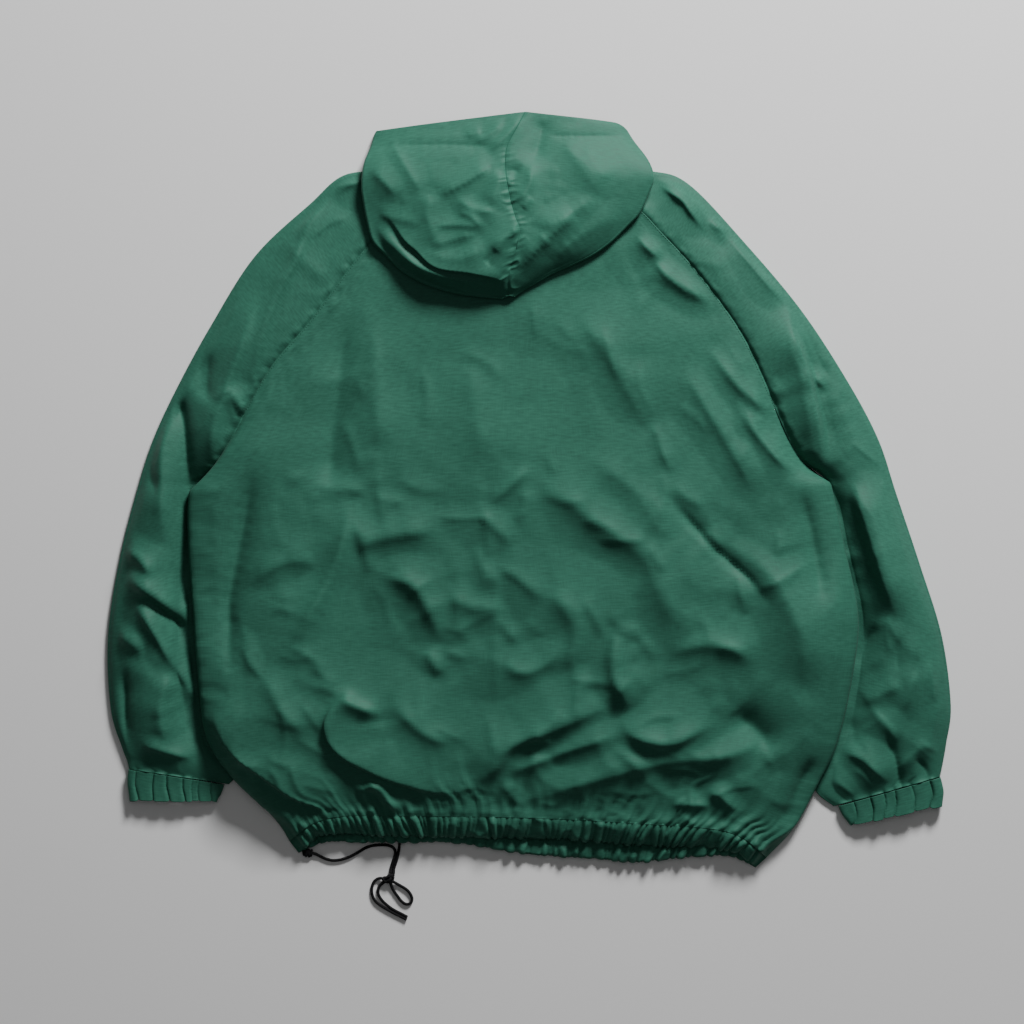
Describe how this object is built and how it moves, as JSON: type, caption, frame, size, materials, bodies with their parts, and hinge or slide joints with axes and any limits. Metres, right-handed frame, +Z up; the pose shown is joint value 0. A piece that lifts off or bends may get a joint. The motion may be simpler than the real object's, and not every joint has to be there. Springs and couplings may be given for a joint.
{
  "type": "anorak smock",
  "caption": "Hooded green anorak smock lying flat on its front, with raglan sleeves, gathered cuffs, a drawcord hem and its hood turned back over the shoulders.",
  "frame": {"origin": "centre of the garment's outline, on the floor it lies on", "axes": "+X to the wearer's right sleeve, +Y from the hem to the hood, +Z up, away from the floor, out of the garment's back"},
  "size_m": [0.9251, 0.8874, 0.0497],
  "materials": {
    "shell_cloth": "matte",
    "drawcord": "matte"
  },
  "bodies": {
    "root": {"back_panel": "shell_cloth", "front_panel": "shell_cloth", "sleeve_left": "shell_cloth", "sleeve_right": "shell_cloth", "cuff_left": "shell_cloth", "cuff_right": "shell_cloth", "hem_casing_back": "shell_cloth", "hem_casing_front": "shell_cloth", "hood_left": "shell_cloth", "hood_right": "shell_cloth", "drawcord_loop_strand": "drawcord", "drawcord_drop_strand": "drawcord", "drawcord_bow": "drawcord", "drawcord_tail_outer": "drawcord", "drawcord_tail_inner": "drawcord", "drawcord_knot": "drawcord", "drawcord_end_knot": "drawcord"}
  },
  "joints": []
}
